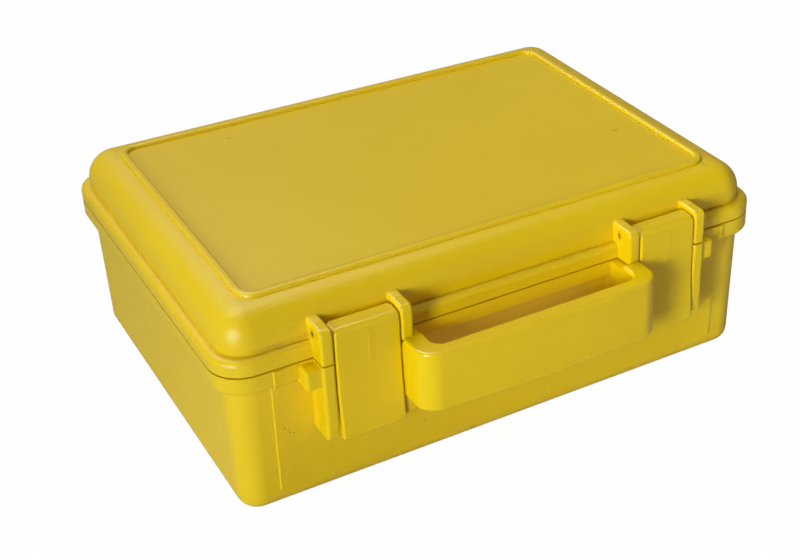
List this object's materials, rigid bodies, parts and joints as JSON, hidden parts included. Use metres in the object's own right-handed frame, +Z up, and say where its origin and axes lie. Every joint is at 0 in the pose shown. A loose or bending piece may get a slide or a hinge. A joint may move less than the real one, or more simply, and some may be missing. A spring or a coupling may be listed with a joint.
{
  "type": "dry box",
  "caption": "Hinged waterproof dry box: moulded tray and domed lid that meet at a sealed rim, with over-centre latches and a moulded carry handle in front.",
  "frame": {"origin": "middle of the tray's flat underside", "axes": "+X to the right along the latched front, +Y from the front to the hinges, +Z up"},
  "size_m": [0.3, 0.2564, 0.1106],
  "materials": {
    "shell_plastic": "satin moulded, yellow",
    "lid_plastic": "satin moulded, yellow",
    "latch_plastic": "satin moulded, yellow",
    "seal_rubber": "matt black",
    "pin_steel": "drawn"
  },
  "bodies": {
    "base": {"base_shell": "shell_plastic", "hinge_pin_left": "pin_steel", "hinge_pin_right": "pin_steel"},
    "lid": {"lid_shell": "lid_plastic", "lid_seal": "seal_rubber", "latch_pin_left": "pin_steel", "latch_pin_right": "pin_steel"},
    "latch_left": {"latch_left": "latch_plastic"},
    "latch_right": {"latch_right": "latch_plastic"}
  },
  "joints": [
    {"name": "lid_hinge", "type": "hinge", "parent": "base", "child": "lid", "pos_m": [0, 0.113, 0.0818], "axis": [-1, 0, 0], "range_deg": [0, 105]},
    {"name": "left_latch_pivot", "type": "hinge", "parent": "lid", "child": "latch_left", "pos_m": [-0.0829, -0.109, 0.0953], "axis": [-1, 0, 0], "range_deg": [0, 110]},
    {"name": "right_latch_pivot", "type": "hinge", "parent": "lid", "child": "latch_right", "pos_m": [0.0829, -0.109, 0.0953], "axis": [-1, 0, 0], "range_deg": [0, 110]}
  ]
}
